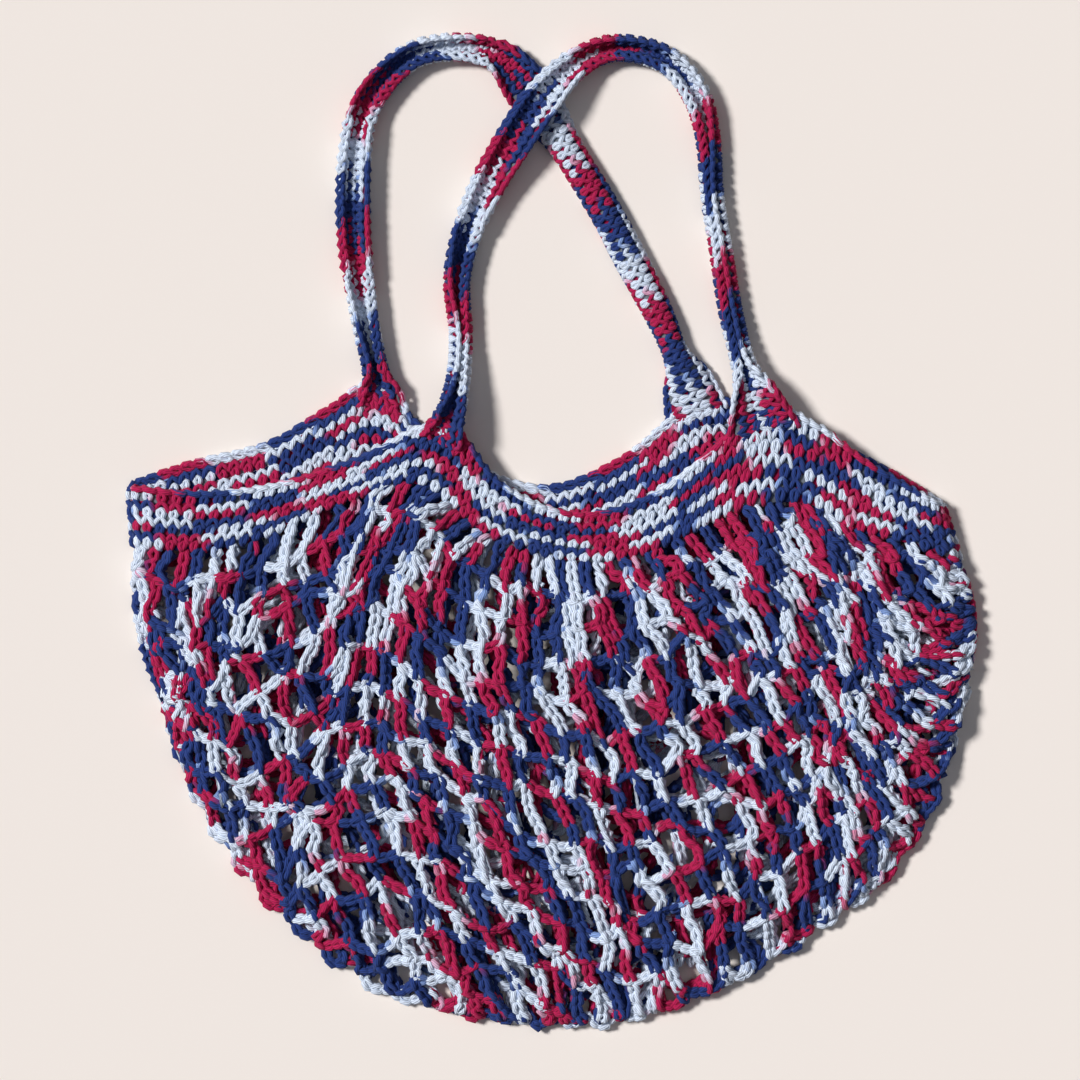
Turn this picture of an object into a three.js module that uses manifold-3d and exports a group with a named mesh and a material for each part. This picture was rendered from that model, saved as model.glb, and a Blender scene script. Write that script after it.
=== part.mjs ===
// A crocheted mesh market bag, laid flat on its back with both handles spread above the mouth.
// Units are millimetres. X runs across the bag, Y from its bottom towards its handles, Z up.
// The origin is on the surface, under the middle of the whole outline.
import * as THREE from 'three';
import { mergeVertices } from 'three/addons/utils/BufferGeometryUtils.js';
import Module from 'manifold-3d';

const wasm = await Module();
wasm.setup();

// Thickness of the three kinds of crochet, and the clearance along Y between pieces worked together.
const netThickness = 3;
const bandThickness = 4;
const strapThickness = 3.6;
const seatGap = 0.5;

// The front layer's mid height at its folds and over the mouth. From a side fold it rises within sideRoll
// of the bag's width, and past rimRoll of the way down it falls to the rim. The net swells most above the
// middle, by swellLean.
const foldHeight = 5.2;
const mouthHeight = 12.5;
const sideRoll = 0.07;
const rimRoll = 0.8;
const swellLean = 0.7;

// How far a side fold bulges on its outside and its inside, and how far the inside stays in from the side
// folds, as a share of the width, and from the rim.
const outerBulge = 2.5;
const innerBulge = 1;
const sideWall = 0.013;
const rimWall = 4;

// How finely the layers are divided across the bag, from seam to rim, and over the height of the band.
const mergeWithin = 1e-4;
const acrossSteps = 40;
const netSteps = 11;
const rimCrowding = 1.6;
const bandSteps = 2;

// The tool that trims the handles' ends: how many steps it stays in from the side folds, and its height.
const seatMargin = 6;
const seatToolHeight = 14;
const gapToolHeight = 60;

// One row for each spoke of the front, from the left fold to the right one: the free edge of the band, the
// seam where the net begins, the rim, the spoke's bow in X at its middle, and the swell of the net there.
const frontSpokes = [
  { edgeX: -211, edgeY: 19, seamX: -209, seamY: -10, rimX: -195, rimY: -84, bow: -2, swell: 0 },
  { edgeX: -177, edgeY: 16, seamX: -183, seamY: -12, rimX: -180, rimY: -130, bow: -6, swell: 1 },
  { edgeX: -141, edgeY: 20, seamX: -150, seamY: -7, rimX: -154, rimY: -172, bow: -10, swell: 3 },
  { edgeX: -100, edgeY: 33, seamX: -108, seamY: 11, rimX: -118, rimY: -208, bow: -15, swell: 4 },
  { edgeX: -56, edgeY: 51, seamX: -68, seamY: 21, rimX: -76, rimY: -234, bow: -16, swell: 5 },
  { edgeX: -27, edgeY: 21, seamX: -34, seamY: -4, rimX: -38, rimY: -244, bow: -8, swell: 7 },
  { edgeX: 11, edgeY: 6, seamX: 8, seamY: -17, rimX: 0, rimY: -247.4, bow: 0, swell: 8 },
  { edgeX: 52, edgeY: 17, seamX: 46, seamY: -13, rimX: 38, rimY: -244.5, bow: 5, swell: 7 },
  { edgeX: 103, edgeY: 56, seamX: 92, seamY: 8, rimX: 84, rimY: -229, bow: 14, swell: 6 },
  { edgeX: 130, edgeY: 50, seamX: 126, seamY: 11, rimX: 128, rimY: -201, bow: 16, swell: 5 },
  { edgeX: 155, edgeY: 32, seamX: 150, seamY: -2, rimX: 164, rimY: -175, bow: 10, swell: 3 },
  { edgeX: 179, edgeY: 18, seamX: 175, seamY: -8, rimX: 191, rimY: -131, bow: 5, swell: 1 },
  { edgeX: 193, edgeY: 10, seamX: 201.4, seamY: -17, rimX: 205.5, rimY: -74, bow: 6, swell: 0 },
];

// The same spokes of the back, which share the rim. Its free edge shows above the front's.
const backSpokes = [
  { edgeX: -211, edgeY: 19, seamX: -209, seamY: -10 },
  { edgeX: -182, edgeY: 29, seamX: -178, seamY: 2 },
  { edgeX: -143, edgeY: 39, seamX: -140, seamY: 12 },
  { edgeX: -112, edgeY: 57, seamX: -114, seamY: 28 },
  { edgeX: -89, edgeY: 68, seamX: -86, seamY: 36 },
  { edgeX: -56, edgeY: 36, seamX: -55, seamY: 8 },
  { edgeX: -8, edgeY: 17, seamX: -10, seamY: -10 },
  { edgeX: 34, edgeY: 31, seamX: 30, seamY: 2 },
  { edgeX: 75, edgeY: 61, seamX: 76, seamY: 28 },
  { edgeX: 112, edgeY: 50, seamX: 112, seamY: 21 },
  { edgeX: 146, edgeY: 36, seamX: 144, seamY: 8 },
  { edgeX: 173, edgeY: 22, seamX: 172, seamY: -5 },
  { edgeX: 193, edgeY: 10, seamX: 201.4, seamY: -17 },
];

// The main gathers of the front below the band: where each lies across the bag, its half width,
// its rise, and how far towards the rim it reaches.
const gathers = [
  { across: 0.12, half: 0.05, rise: 1.8, reach: 0.9 },
  { across: 0.205, half: 0.035, rise: 1.8, reach: 0.6 },
  { across: 0.27, half: 0.035, rise: 2.2, reach: 0.5 },
  { across: 0.354, half: 0.035, rise: 3.2, reach: 0.62 },
  { across: 0.4375, half: 0.035, rise: 4.2, reach: 0.8 },
  { across: 0.52, half: 0.035, rise: 3.4, reach: 0.7 },
  { across: 0.604, half: 0.035, rise: 4.4, reach: 0.85 },
  { across: 0.688, half: 0.035, rise: 3.6, reach: 0.66 },
  { across: 0.77, half: 0.035, rise: 2.6, reach: 0.55 },
  { across: 0.86, half: 0.05, rise: 1.8, reach: 0.8 },
];

// The largest gaps of the net, which go through both layers: centre, length, width and turn in degrees.
const gaps = [
  { x: -124, y: -134, long: 13, wide: 10, turn: 80 },
  { x: -75, y: -224, long: 12, wide: 8.5, turn: 165 },
  { x: -54, y: -232, long: 11, wide: 8.5, turn: 170 },
  { x: -14, y: -172, long: 13, wide: 10, turn: 95 },
  { x: 24, y: -164, long: 12, wide: 9, turn: 80 },
  { x: 36, y: -176, long: 12, wide: 9, turn: 20 },
  { x: 56, y: -156, long: 13, wide: 9, turn: 100 },
  { x: 47, y: -187, long: 13, wide: 9, turn: 60 },
  { x: 65, y: -224, long: 12, wide: 9, turn: 30 },
  { x: 88, y: -142, long: 13, wide: 9, turn: 70 },
  { x: 90, y: -216, long: 12, wide: 8.5, turn: 35 },
  { x: 155, y: -145, long: 13, wide: 9, turn: 65 },
];

// Each handle is one strap that curls along its length. A row gives a place on its middle line, the height
// of its underside, its flat width, and its curl in degrees: positive is a gutter, negative is a ridge.
const backHandle = [
  { x: -87, y: 56, lift: 0, wide: 24, curl: 20 },
  { x: -88, y: 68, lift: 0, wide: 22, curl: 120 },
  { x: -90, y: 80, lift: 0, wide: 21, curl: 270 },
  { x: -95, y: 104, lift: 0, wide: 21, curl: 245 },
  { x: -100, y: 139, lift: 0, wide: 21, curl: 190 },
  { x: -101, y: 172, lift: 0, wide: 21, curl: 180 },
  { x: -98, y: 202, lift: 0, wide: 21, curl: 205 },
  { x: -89, y: 221, lift: 0, wide: 21, curl: 215 },
  { x: -71, y: 237, lift: 0, wide: 21, curl: 245 },
  { x: -49, y: 241, lift: 0, wide: 21, curl: 240 },
  { x: -29, y: 237, lift: 0, wide: 21, curl: 190 },
  { x: -16, y: 225, lift: 0, wide: 21, curl: 70 },
  { x: -6, y: 211, lift: 0, wide: 20, curl: -40 },
  { x: 5, y: 192, lift: 0, wide: 21, curl: -190 },
  { x: 23, y: 163, lift: 0, wide: 21, curl: -200 },
  { x: 40, y: 131, lift: 0, wide: 21, curl: -190 },
  { x: 53, y: 106, lift: 0, wide: 21, curl: -240 },
  { x: 60, y: 89, lift: 0, wide: 21, curl: -290 },
  { x: 67, y: 74, lift: 0, wide: 25, curl: -110 },
  { x: 73, y: 56, lift: 0, wide: 30, curl: -20 },
];
const frontHandle = [
  { x: -58, y: 42, lift: 10.5, wide: 20, curl: 60 },
  { x: -52, y: 57, lift: 10.5, wide: 21, curl: 220 },
  { x: -48, y: 76, lift: 5, wide: 21, curl: 300 },
  { x: -47, y: 98, lift: 0, wide: 21, curl: 310 },
  { x: -49, y: 124, lift: 0, wide: 21, curl: 260 },
  { x: -44, y: 148, lift: 0, wide: 21, curl: 215 },
  { x: -33, y: 173, lift: 0.8, wide: 21, curl: 170 },
  { x: -19, y: 196, lift: 6, wide: 21, curl: 145 },
  { x: -6, y: 215, lift: 7, wide: 21, curl: 145 },
  { x: 9, y: 231, lift: 2, wide: 21, curl: 200 },
  { x: 26, y: 240, lift: 0, wide: 21, curl: 250 },
  { x: 45, y: 239, lift: 0, wide: 21, curl: 250 },
  { x: 61, y: 231, lift: 0, wide: 21, curl: 235 },
  { x: 72, y: 215, lift: 0, wide: 21, curl: 240 },
  { x: 77, y: 195, lift: 0, wide: 21, curl: 290 },
  { x: 79, y: 168, lift: 0, wide: 21, curl: 320 },
  { x: 83, y: 142, lift: 0, wide: 21, curl: 315 },
  { x: 88, y: 110, lift: 0, wide: 21, curl: 300 },
  { x: 94, y: 84, lift: 4, wide: 21, curl: 290 },
  { x: 100, y: 66, lift: 10, wide: 26, curl: 130 },
  { x: 106, y: 46, lift: 10.5, wide: 36, curl: 20 },
];
const leastCurl = 2;
const strapFacets = 5;
const strapSteps = 44;

const yarnColours = { net: '#a9afcb', band: '#8f4a6c', backHandle: '#5c6596', frontHandle: '#b6657f' };

const clamp01 = (value) => Math.min(1, Math.max(0, value));

// A smooth curve through the rows of a table, read column by column at 0 to 1 of its length.
function blendRows(rows, at) {
  const place = clamp01(at) * (rows.length - 1);
  const start = Math.min(rows.length - 2, Math.floor(place));
  const part = place - start;
  const before = rows[Math.max(0, start - 1)];
  const first = rows[start];
  const second = rows[start + 1];
  const after = rows[Math.min(rows.length - 1, start + 2)];
  const mixed = {};
  for (const column of Object.keys(first)) {
    const slopeIn = (second[column] - before[column]) / 2;
    const slopeOut = (after[column] - first[column]) / 2;
    const step = second[column] - first[column];
    mixed[column] = first[column] + slopeIn * part
      + (3 * step - 2 * slopeIn - slopeOut) * part ** 2
      + (slopeIn + slopeOut - 2 * step) * part ** 3;
  }
  return mixed;
}

// Where a layer lies in plan. Down is -1 at the band's free edge, 0 at the seam and 1 at the rim.
function planPoint(layer, across, down) {
  const front = blendRows(frontSpokes, across);
  const own = layer === 'front' ? front : blendRows(backSpokes, across);
  if (down <= 0) {
    return {
      x: own.seamX + (own.edgeX - own.seamX) * -down,
      y: own.seamY + (own.edgeY - own.seamY) * -down,
    };
  }
  const bow = front.bow * 4 * down * (1 - down);
  return {
    x: own.seamX + (front.rimX - own.seamX) * down + bow,
    y: own.seamY + (front.rimY - own.seamY) * down,
  };
}

// The mid height of the front layer: low at the side folds and the rim, high over the gathers.
function frontHeight(across, down) {
  const side = clamp01(Math.min(across, 1 - across) / sideRoll);
  const sideRise = Math.sqrt(1 - (1 - side) ** 2);
  const rimPart = clamp01((down - rimRoll) / (1 - rimRoll));
  const rimRise = Math.sqrt(1 - rimPart ** 2);
  const below = clamp01(down);
  let height = mouthHeight + blendRows(frontSpokes, across).swell * Math.sin(Math.PI * below ** swellLean);
  for (const gather of gathers) {
    const off = Math.min(1, Math.abs(across - gather.across) / gather.half);
    const along = clamp01(below / gather.reach);
    height += gather.rise * Math.cos(Math.PI * off / 2) ** 2 * Math.sin(Math.PI * Math.sqrt(along));
  }
  return foldHeight + (height - foldHeight) * sideRise * rimRise;
}

// The distance from seam to rim along a spoke.
function spokeLength(across) {
  const row = blendRows(frontSpokes, across);
  return Math.hypot(row.rimX - row.seamX, row.rimY - row.seamY);
}

// One closed loop around the bag on its outside or inside skin: the front from left to right, the right
// fold, the back from right to left, the left fold.
function bagLoop(down, thickness, inside, slip = 0) {
  const inset = inside ? sideWall : 0;
  const points = [];
  const layerPoint = (layer, step) => {
    const across = Math.min(1 - inset, Math.max(inset, step / acrossSteps));
    const shrink = inside && down > 0 ? 1 - rimWall / spokeLength(across) : 1;
    const place = planPoint(layer, across, down * shrink);
    const outward = inside ? -thickness / 2 : thickness / 2;
    const middle = layer === 'front' ? frontHeight(across, down * shrink) : thickness / 2;
    const height = layer === 'front' ? middle + outward : middle - outward;
    return new THREE.Vector3(place.x, place.y - slip, height);
  };
  const foldPoint = (step, outward) => {
    const upper = layerPoint('front', step);
    const lower = layerPoint('back', step);
    const middle = upper.add(lower).multiplyScalar(0.5);
    middle.x += outward * (inside ? innerBulge : outerBulge);
    return middle;
  };
  for (let step = 0; step <= acrossSteps; step += 1) points.push(layerPoint('front', step));
  points.push(foldPoint(acrossSteps, 1));
  for (let step = acrossSteps; step >= 0; step -= 1) points.push(layerPoint('back', step));
  points.push(foldPoint(0, -1));
  return points;
}

// Collects corner points and faces of one closed skin.
function startSkin() {
  return { corners: [], faces: [] };
}
function addPoints(skin, points) {
  const start = skin.corners.length / 3;
  for (const point of points) skin.corners.push(point.x, point.y, point.z);
  return points.map((_, index) => start + index);
}
function addFace(skin, a, b, c) {
  if (a !== b && b !== c && c !== a) skin.faces.push(a, b, c);
}
// Joins two lines of corners with the same count. Flip turns the faces over.
function joinLines(skin, near, far, flip = false, closed = true) {
  const last = closed ? near.length : near.length - 1;
  for (let index = 0; index < last; index += 1) {
    const next = (index + 1) % near.length;
    if (flip) {
      addFace(skin, near[index], far[next], near[next]);
      addFace(skin, near[index], far[index], far[next]);
    } else {
      addFace(skin, near[index], near[next], far[next]);
      addFace(skin, near[index], far[next], far[index]);
    }
  }
}

// Turns a closed geometry into a solid, with its faces pointing out.
function solidOf(geometry) {
  const merged = mergeVertices(geometry, mergeWithin);
  const triVerts = Uint32Array.from(merged.index.array);
  const vertProperties = Float32Array.from(merged.attributes.position.array);
  if (signedVolume(vertProperties, triVerts) < 0) {
    for (let face = 0; face < triVerts.length; face += 3) {
      [triVerts[face + 1], triVerts[face + 2]] = [triVerts[face + 2], triVerts[face + 1]];
    }
  }
  return new wasm.Manifold(new wasm.Mesh({ numProp: 3, vertProperties, triVerts }));
}
function signedVolume(corners, triangles) {
  const a = new THREE.Vector3();
  const b = new THREE.Vector3();
  const c = new THREE.Vector3();
  let volume = 0;
  for (let face = 0; face < triangles.length; face += 3) {
    a.fromArray(corners, triangles[face] * 3);
    b.fromArray(corners, triangles[face + 1] * 3);
    c.fromArray(corners, triangles[face + 2] * 3);
    volume += a.dot(b.cross(c)) / 6;
  }
  return volume;
}
function skinSolid(skin) {
  const geometry = new THREE.BufferGeometry();
  geometry.setAttribute('position', new THREE.Float32BufferAttribute(skin.corners, 3));
  geometry.setIndex(skin.faces);
  return solidOf(geometry);
}

function geometryOf(solid) {
  const mesh = solid.getMesh();
  const geometry = new THREE.BufferGeometry();
  geometry.setAttribute('position', new THREE.Float32BufferAttribute(mesh.vertProperties, 3));
  geometry.setIndex(Array.from(mesh.triVerts));
  geometry.computeVertexNormals();
  return geometry;
}

function largestPiece(solid) {
  const pieces = solid.decompose();
  return pieces.reduce((best, piece) => (piece.volume() > best.volume() ? piece : best));
}

// The pouch: an outer and an inner skin from the seam down to the rim, joined around the mouth.
function makeNet() {
  const skin = startSkin();
  const rimLine = (inside) => {
    const loop = bagLoop(1, netThickness, inside);
    const middles = [];
    for (let step = 0; step <= acrossSteps; step += 1) {
      const lower = loop[2 * acrossSteps + 2 - step];
      middles.push(loop[step].clone().add(lower).multiplyScalar(0.5));
    }
    return middles;
  };
  const sides = [false, true].map((inside) => {
    const loops = [];
    for (let step = 0; step < netSteps; step += 1) {
      const down = 1 - (1 - step / netSteps) ** rimCrowding;
      loops.push(addPoints(skin, bagLoop(down, netThickness, inside, seatGap)));
    }
    for (let step = 1; step < netSteps; step += 1) joinLines(skin, loops[step - 1], loops[step], inside);
    const line = addPoints(skin, rimLine(inside));
    const mirrored = [...line, line[acrossSteps], ...[...line].reverse(), line[0]];
    joinLines(skin, loops[netSteps - 1], mirrored, inside);
    return loops;
  });
  joinLines(skin, sides[0][0], sides[1][0], true);
  let net = skinSolid(skin);
  for (const gap of gaps) net = net.subtract(gapTool(gap));
  return net;
}

// A gap of the net has six sides. Its width is measured between the two that are parallel to its length.
function gapTool(gap) {
  const outline = new THREE.Shape();
  for (let corner = 0; corner < 6; corner += 1) {
    const angle = corner * Math.PI / 3;
    const x = Math.cos(angle) * gap.long / 2;
    const y = Math.sin(angle) / Math.sin(Math.PI / 3) * gap.wide / 2;
    if (corner === 0) outline.moveTo(x, y);
    else outline.lineTo(x, y);
  }
  outline.closePath();
  const geometry = new THREE.ExtrudeGeometry(outline, { depth: gapToolHeight, bevelEnabled: false });
  geometry.translate(0, 0, -gapToolHeight / 2);
  geometry.rotateZ(THREE.MathUtils.degToRad(gap.turn));
  geometry.translate(gap.x, gap.y, 0);
  geometry.deleteAttribute('normal');
  geometry.deleteAttribute('uv');
  return solidOf(geometry);
}

// The band: a flattened ring between its free edge and the seam.
function makeBand() {
  const skin = startSkin();
  const sides = [false, true].map((inside) => {
    const loops = [];
    for (let step = 0; step <= bandSteps; step += 1) {
      loops.push(addPoints(skin, bagLoop(step / bandSteps - 1, bandThickness, inside)));
    }
    for (let step = 1; step <= bandSteps; step += 1) joinLines(skin, loops[step - 1], loops[step], inside);
    return loops;
  });
  joinLines(skin, sides[0][0], sides[1][0], true);
  joinLines(skin, sides[0][bandSteps], sides[1][bandSteps], false);
  return skinSolid(skin);
}

// The tool that trims a handle's ends to the free edge of one layer of the band: a thick strip on that
// edge's own line, set off from it by the clearance.
function seatTool(layer) {
  const skin = startSkin();
  const lines = [[-1, -1], [-1, 1], [0, 1], [0, -1]].map(([down, side]) => {
    const points = [];
    for (let step = seatMargin; step <= acrossSteps - seatMargin; step += 1) {
      const across = step / acrossSteps;
      const place = planPoint(layer, across, down);
      const middle = layer === 'front' ? frontHeight(across, down) : bandThickness / 2;
      const clear = down < 0 ? seatGap : 0;
      points.push(new THREE.Vector3(place.x, place.y + clear, middle + side * seatToolHeight / 2));
    }
    return addPoints(skin, points);
  });
  lines.forEach((line, index) => joinLines(skin, line, lines[(index + 1) % lines.length], false, false));
  for (const end of [0, lines[0].length - 1]) {
    const [a, b, c, d] = lines.map((line) => line[end]);
    if (end === 0) {
      addFace(skin, a, b, c);
      addFace(skin, a, c, d);
    } else {
      addFace(skin, a, c, b);
      addFace(skin, a, d, c);
    }
  }
  return skinSolid(skin);
}

// The outline of a strap's section: a curled strip, flat facet down, with its lowest point at zero.
function strapSection(wide, curl) {
  const bend = THREE.MathUtils.degToRad(Math.abs(curl) < leastCurl ? leastCurl : curl);
  const radius = wide / bend;
  const outline = [];
  for (const side of [-1, 1]) {
    for (let step = 0; step <= strapFacets; step += 1) {
      const part = (side < 0 ? step : strapFacets - step) / strapFacets - 0.5;
      const angle = part * bend;
      const reach = radius - side * strapThickness / 2;
      outline.push({ across: reach * Math.sin(angle), up: radius - reach * Math.cos(angle) });
    }
  }
  const lowest = Math.min(...outline.map((point) => point.up));
  return outline.map((point) => ({ across: point.across, up: point.up - lowest }));
}

// A handle: its section swept over its rows. Its ends reach into the band and are trimmed there.
function makeHandle(rows, layer) {
  const skin = startSkin();
  const place = (at) => blendRows(rows, at);
  const loops = [];
  for (let step = 0; step <= strapSteps; step += 1) {
    const at = step / strapSteps;
    const here = place(at);
    const ahead = place(at + 1 / strapSteps);
    const behind = place(at - 1 / strapSteps);
    const along = new THREE.Vector2(ahead.x - behind.x, ahead.y - behind.y).normalize();
    const lift = Math.max(0, here.lift);
    loops.push(addPoints(skin, strapSection(here.wide, here.curl).map((point) => new THREE.Vector3(
      here.x + along.y * point.across,
      here.y - along.x * point.across,
      lift + point.up,
    ))));
  }
  for (let step = 1; step <= strapSteps; step += 1) joinLines(skin, loops[step - 1], loops[step]);
  closeStrip(skin, loops[0], false);
  closeStrip(skin, loops[strapSteps], true);
  return largestPiece(skinSolid(skin).subtract(seatTool(layer)));
}
// Closes a strip's end between its under and upper facets.
function closeStrip(skin, loop, flip) {
  const last = loop.length - 1;
  for (let step = 0; step < strapFacets; step += 1) {
    const corners = [loop[step], loop[step + 1], loop[last - step - 1], loop[last - step]];
    if (flip) corners.reverse();
    addFace(skin, corners[0], corners[2], corners[1]);
    addFace(skin, corners[0], corners[3], corners[2]);
  }
}

const bag = new THREE.Group();
function addPiece(name, solid, colour) {
  const material = new THREE.MeshStandardMaterial({ color: colour, roughness: 0.9, metalness: 0 });
  const mesh = new THREE.Mesh(geometryOf(solid), material);
  mesh.name = name;
  bag.add(mesh);
}

addPiece('net_body', makeNet(), yarnColours.net);
addPiece('top_band', makeBand(), yarnColours.band);
addPiece('handle_back', makeHandle(backHandle, 'back'), yarnColours.backHandle);
addPiece('handle_front', makeHandle(frontHandle, 'front'), yarnColours.frontHandle);

// The origin goes under the middle of the whole outline.
const middle = new THREE.Box3().setFromObject(bag).getCenter(new THREE.Vector3());
bag.position.set(-middle.x, -middle.y, 0);

export default bag;
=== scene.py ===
import math

import bpy
import numpy as np
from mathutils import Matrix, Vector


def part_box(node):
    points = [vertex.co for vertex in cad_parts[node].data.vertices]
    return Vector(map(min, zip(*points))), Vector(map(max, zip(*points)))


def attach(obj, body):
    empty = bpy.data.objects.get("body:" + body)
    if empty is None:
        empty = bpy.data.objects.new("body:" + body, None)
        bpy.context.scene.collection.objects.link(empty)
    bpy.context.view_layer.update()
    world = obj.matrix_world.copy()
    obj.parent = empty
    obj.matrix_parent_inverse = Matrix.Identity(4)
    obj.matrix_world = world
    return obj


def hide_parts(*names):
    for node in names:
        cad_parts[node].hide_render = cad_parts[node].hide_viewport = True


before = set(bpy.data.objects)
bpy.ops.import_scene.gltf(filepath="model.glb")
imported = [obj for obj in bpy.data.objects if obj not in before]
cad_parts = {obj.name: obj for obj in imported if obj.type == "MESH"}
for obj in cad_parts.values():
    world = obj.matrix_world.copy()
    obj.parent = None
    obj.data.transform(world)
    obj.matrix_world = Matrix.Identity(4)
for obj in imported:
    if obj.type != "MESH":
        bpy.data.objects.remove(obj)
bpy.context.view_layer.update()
mm = 0.001
body = "root"

# The bag as it lies. Sizes and tables are in millimetres, as the part's own are. Meshes are made in metres.
bag = {
    "outerBulge": 2.5,  # how far the side folds stand out past the spokes
    "foldInset": 0.6,  # how far inside that the middle of the band's fold lies
    "seatGap": 0.5,
    "foldHeight": 5.2,  # of the front layer where it meets the back
    "mouthHeight": 12.5,
    "sideRoll": 0.07,  # share of the width over which each side rolls down
    "rimRoll": 0.8,  # share of the way down where the front starts to roll
    "swellLean": 0.7,
    "backHeight": 2.4,
    "left": -211,  # where the left fold lies, and how far the right one is from it
    "wide": 416,
    "seed": 11,
}
# The columns of the two tables below. The back has the first four.
edgeX, edgeY, seamX, seamY, rimX, rimY, bowOut, swellUp = range(8)
# The band's free edge, seam, rim, the spoke's bow in X and the net's swell, from left to right.
frontSpokes = np.array([
    (-211, 19, -209, -10, -195, -84, -2, 0),
    (-177, 16, -183, -12, -180, -130, -6, 1),
    (-141, 20, -150, -7, -154, -172, -10, 3),
    (-100, 33, -108, 11, -118, -208, -15, 4),
    (-56, 51, -68, 21, -76, -234, -16, 5),
    (-27, 21, -34, -4, -38, -244, -8, 7),
    (11, 6, 8, -17, 0, -247.4, 0, 8),
    (52, 17, 46, -13, 38, -244.5, 5, 7),
    (103, 56, 92, 8, 84, -229, 14, 6),
    (130, 50, 126, 11, 128, -201, 16, 5),
    (155, 32, 150, -2, 164, -175, 10, 3),
    (179, 18, 175, -8, 191, -131, 5, 1),
    (193, 10, 201.4, -17, 205.5, -74, 6, 0),
], float)
backSpokes = np.array([
    (-211, 19, -209, -10), (-182, 29, -178, 2), (-143, 39, -140, 12), (-112, 57, -114, 28),
    (-89, 68, -86, 36), (-56, 36, -55, 8), (-8, 17, -10, -10), (34, 31, 30, 2), (75, 61, 76, 28),
    (112, 50, 112, 21), (146, 36, 144, 8), (173, 22, 172, -5), (193, 10, 201.4, -17),
], float)
# The gathers below the band: place across the bag, half width, rise, reach towards the rim.
gathers = np.array([
    (0.12, 0.05, 1.8, 0.9), (0.205, 0.035, 1.8, 0.6), (0.27, 0.035, 2.2, 0.5),
    (0.354, 0.035, 3.2, 0.62), (0.4375, 0.035, 4.2, 0.8), (0.52, 0.035, 3.4, 0.7),
    (0.604, 0.035, 4.4, 0.85), (0.688, 0.035, 3.6, 0.66), (0.77, 0.035, 2.6, 0.55),
    (0.86, 0.05, 1.8, 0.8),
], float)
# The places where both layers of the net are open.
openGaps = np.array([
    (-124, -134), (-75, -224), (-54, -232), (-14, -172), (24, -164), (36, -176),
    (56, -156), (47, -187), (65, -224), (88, -142), (90, -216), (155, -145),
], float)
# The whole outline is centred in the frame, so the tables are set over by this much.
setOver = np.array([
    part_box("top_band")[0].x / mm - (frontSpokes[0, edgeX] - bag["outerBulge"]),
    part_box("net_body")[0].y / mm - (frontSpokes[:, rimY].min() - bag["seatGap"]),
])


# Rows of a table, blended smoothly at places from 0 to 1.
def blendRows(rows, at):
    at = np.clip(np.asarray(at, float), 0, 1) * (len(rows) - 1)
    first = np.minimum(len(rows) - 2, np.floor(at).astype(int))
    part = (at - first)[..., None]
    before = rows[np.maximum(first - 1, 0)]
    here = rows[first]
    there = rows[first + 1]
    after = rows[np.minimum(first + 2, len(rows) - 1)]
    slopeIn = (there - before) / 2
    slopeOut = (after - here) / 2
    step = there - here
    return (here + slopeIn * part + (3 * step - 2 * slopeIn - slopeOut) * part ** 2
            + (slopeIn + slopeOut - 2 * step) * part ** 3)


# How high the front lies: low along its folds, with a swell in the middle and the gathers below the band.
def frontHeight(across, down):
    side = np.clip(np.minimum(across, 1 - across) / bag["sideRoll"], 0, 1)
    sideRise = np.sqrt(1 - (1 - side) ** 2)
    rimPart = np.clip((down - bag["rimRoll"]) / (1 - bag["rimRoll"]), 0, 1)
    rimRise = np.sqrt(1 - rimPart ** 2)
    below = np.clip(down, 0, 1)
    swell = blendRows(frontSpokes, across)[..., swellUp]
    height = bag["mouthHeight"] + swell * np.sin(math.pi * below ** bag["swellLean"])
    for place, half, rise, reach in gathers:
        off = np.minimum(1, np.abs(across - place) / half)
        along = np.clip(below / reach, 0, 1)
        height = height + rise * np.cos(math.pi * off / 2) ** 2 * np.sin(math.pi * np.sqrt(along))
    return bag["foldHeight"] + (height - bag["foldHeight"]) * sideRise * rimRise


# Millimetre points of a layer. Down is -1 at the band's free edge, 0 at the seam and 1 at the rim.
def layerPoints(layer, across, down):
    across, down = np.broadcast_arrays(np.asarray(across, float), np.asarray(down, float))
    front = blendRows(frontSpokes, across)
    own = blendRows(backSpokes, across) if layer == "back" else front
    up = np.clip(-down, 0, 1)
    low = np.clip(down, 0, 1)
    x, y = [
        own[..., seam] + (own[..., edge] - own[..., seam]) * up + (front[..., rimAt] - own[..., seam]) * low
        for edge, seam, rimAt in ((edgeX, seamX, rimX), (edgeY, seamY, rimY))
    ]
    x = x + front[..., bowOut] * 4 * low * (1 - low)
    z = np.full(across.shape, bag["backHeight"]) if layer == "back" else frontHeight(across, down)
    return np.stack([x + setOver[0], y + setOver[1], z], axis=-1)


def unit(vectors):
    return vectors / np.maximum(np.linalg.norm(vectors, axis=-1, keepdims=True), 1e-9)


def addObject(name, data):
    made = bpy.data.objects.new(name, data)
    bpy.context.scene.collection.objects.link(made)
    return made


# One chain link: along in links, across and up in yarn widths.
chainLink = np.array([
    (0.05, -0.16, -0.05), (0.40, -0.58, 0.46), (0.86, -0.76, 0.40),
    (1.25, -0.40, -0.08), (1.25, 0.38, -0.08), (0.88, 0.74, 0.40),
    (0.42, 0.56, 0.46), (0.07, 0.14, -0.10), (0.52, 0.00, -1.00),
])
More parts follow.
